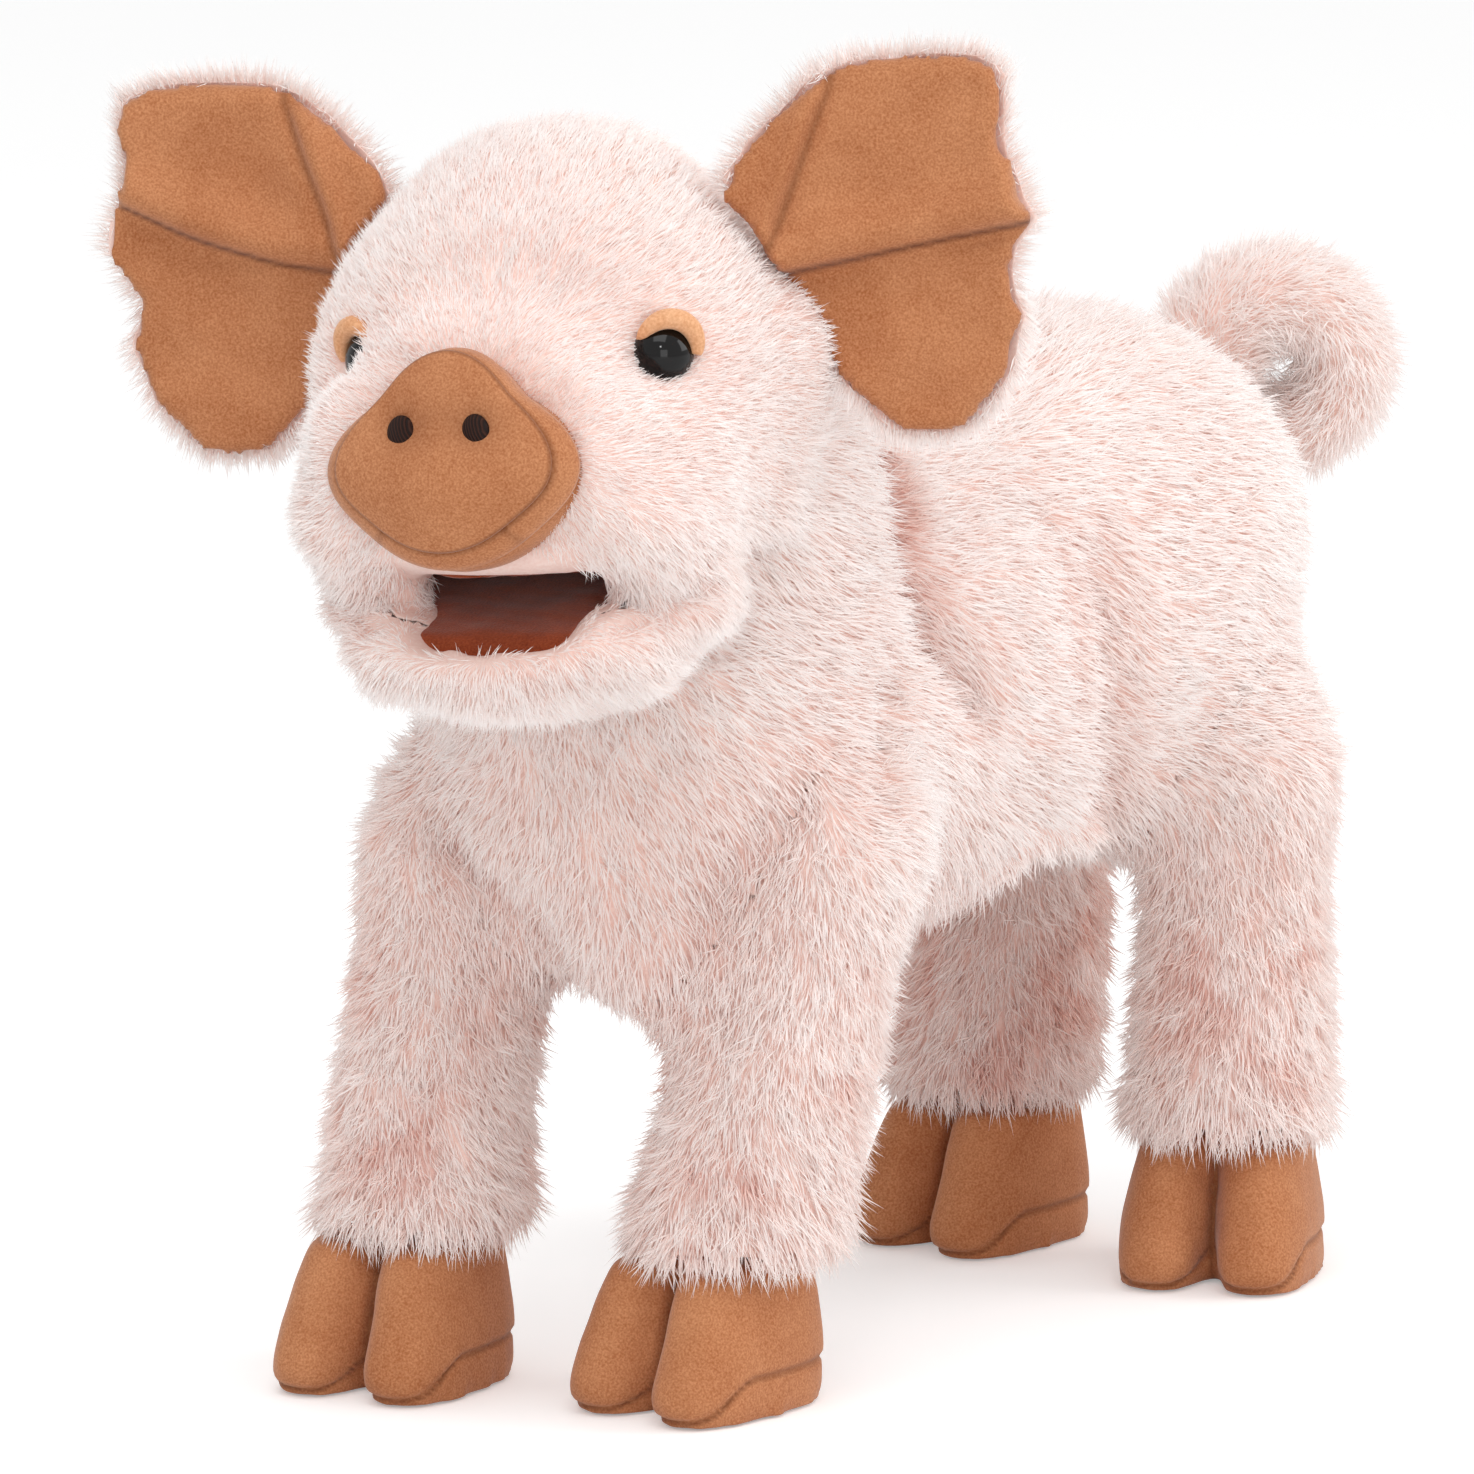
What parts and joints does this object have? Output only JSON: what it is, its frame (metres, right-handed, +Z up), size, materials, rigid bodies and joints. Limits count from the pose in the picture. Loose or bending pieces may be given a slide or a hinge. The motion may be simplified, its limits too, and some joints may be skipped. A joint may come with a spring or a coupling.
{
  "type": "piglet hand puppet",
  "caption": "Standing plush piglet hand puppet with a hand sleeve under the belly, a finger and thumb worked mouth, suede ears, snout and cloven hooves, and a curly tail.",
  "frame": {"origin": "on the floor under the middle of the bounding box", "axes": "+Z up; the piglet stands along Y and faces -Y; its left side is +X"},
  "size_m": [0.2022, 0.3766, 0.3155],
  "materials": {
    "plush": "long pale pink pile",
    "suede": "tan faux suede with a fine nap",
    "eyelid_suede": "light tan faux suede",
    "mouth_velour": "short red-brown velour",
    "hand_lining": "plain woven lining",
    "stuffing": "loose polyester fibre",
    "eye_gloss": "polished black",
    "washer_plastic": "moulded white",
    "nostril_thread": "dark brown satin stitch"
  },
  "bodies": {
    "torso": {"back_panel": "plush", "belly_panel": "plush", "neck_collar": "plush", "torso_stuffing": "stuffing", "sleeve_wrist": "hand_lining", "sleeve_palm": "hand_lining", "sleeve_hem": "hand_lining"},
    "neck": {"neck_lining": "hand_lining"},
    "jaw": {"jaw_skin": "plush", "jaw_lining": "mouth_velour", "thumb_pocket": "hand_lining"},
    "tail": {"tail_skin": "plush"},
    "ear_right": {"ear_back_right": "plush", "ear_lining_right": "suede"},
    "ear_left": {"ear_back_left": "plush", "ear_lining_left": "suede"},
    "front_right_leg": {"front_right_leg_skin": "plush", "front_right_leg_stuffing": "stuffing", "front_right_sole": "suede", "front_right_toe_left": "suede", "front_right_toe_right": "suede"},
    "front_left_leg": {"front_left_leg_skin": "plush", "front_left_leg_stuffing": "stuffing", "front_left_sole": "suede", "front_left_toe_left": "suede", "front_left_toe_right": "suede"},
    "hind_right_leg": {"hind_right_leg_skin": "plush", "hind_right_leg_stuffing": "stuffing", "hind_right_sole": "suede", "hind_right_toe_left": "suede", "hind_right_toe_right": "suede"},
    "hind_left_leg": {"hind_left_leg_skin": "plush", "hind_left_leg_stuffing": "stuffing", "hind_left_sole": "suede", "hind_left_toe_left": "suede", "hind_left_toe_right": "suede"},
    "head": {"eye_left": "eye_gloss", "eye_right": "eye_gloss", "eye_washer_left": "washer_plastic", "eye_washer_right": "washer_plastic", "eyelid_left": "eyelid_suede", "eyelid_right": "eyelid_suede", "finger_pocket": "hand_lining", "head_skin": "plush", "head_stuffing": "stuffing", "nostril_left": "nostril_thread", "nostril_right": "nostril_thread", "palate_lining": "mouth_velour", "snout_band": "suede", "snout_disc": "suede", "snout_stuffing": "stuffing"}
  },
  "joints": [
    {"name": "neck_turn", "type": "hinge", "parent": "torso", "child": "neck", "pos_m": [-0.00602, -0.06319, 0.203], "axis": [0, 0, 1], "range_deg": [-48, 12], "stiffness_Nm_per_rad": 1.2},
    {"name": "head_nod", "type": "hinge", "parent": "neck", "child": "head", "pos_m": [-0.00602, -0.06319, 0.203], "axis": [0.9511, 0.309, 0], "range_deg": [-12, 8], "stiffness_Nm_per_rad": 6},
    {"name": "jaw_open", "type": "hinge", "parent": "head", "child": "jaw", "pos_m": [0.0108, -0.1145, 0.201], "axis": [0.9487, 0.3083, 0.0698], "range_deg": [-14, 8], "stiffness_Nm_per_rad": 0.8},
    {"name": "ear_right_flop", "type": "hinge", "parent": "head", "child": "ear_right", "pos_m": [-0.04172, -0.11579, 0.26164], "axis": [-0.0663, -0.0216, 0.9976], "range_deg": [-20, 20], "stiffness_Nm_per_rad": 0.25},
    {"name": "ear_left_flop", "type": "hinge", "parent": "head", "child": "ear_left", "pos_m": [0.04556, -0.08743, 0.26806], "axis": [-0.0663, -0.0216, 0.9976], "range_deg": [-20, 20], "stiffness_Nm_per_rad": 0.25},
    {"name": "front_right_swing", "type": "hinge", "parent": "torso", "child": "front_right_leg", "pos_m": [-0.05002, -0.07519, 0.122], "axis": [1, 0, 0], "range_deg": [-15, 15], "stiffness_Nm_per_rad": 6},
    {"name": "front_left_swing", "type": "hinge", "parent": "torso", "child": "front_left_leg", "pos_m": [0.03998, -0.05519, 0.122], "axis": [1, 0, 0], "range_deg": [-15, 15], "stiffness_Nm_per_rad": 6},
    {"name": "hind_right_swing", "type": "hinge", "parent": "torso", "child": "hind_right_leg", "pos_m": [-0.03902, 0.12781, 0.122], "axis": [1, 0, 0], "range_deg": [-15, 15], "stiffness_Nm_per_rad": 6},
    {"name": "hind_left_swing", "type": "hinge", "parent": "torso", "child": "hind_left_leg", "pos_m": [0.03698, 0.11081, 0.122], "axis": [1, 0, 0], "range_deg": [-15, 15], "stiffness_Nm_per_rad": 6},
    {"name": "tail_wag", "type": "hinge", "parent": "torso", "child": "tail", "pos_m": [-0.00602, 0.15481, 0.21], "axis": [0, 0, 1], "range_deg": [-20, 20], "stiffness_Nm_per_rad": 0.25}
  ]
}
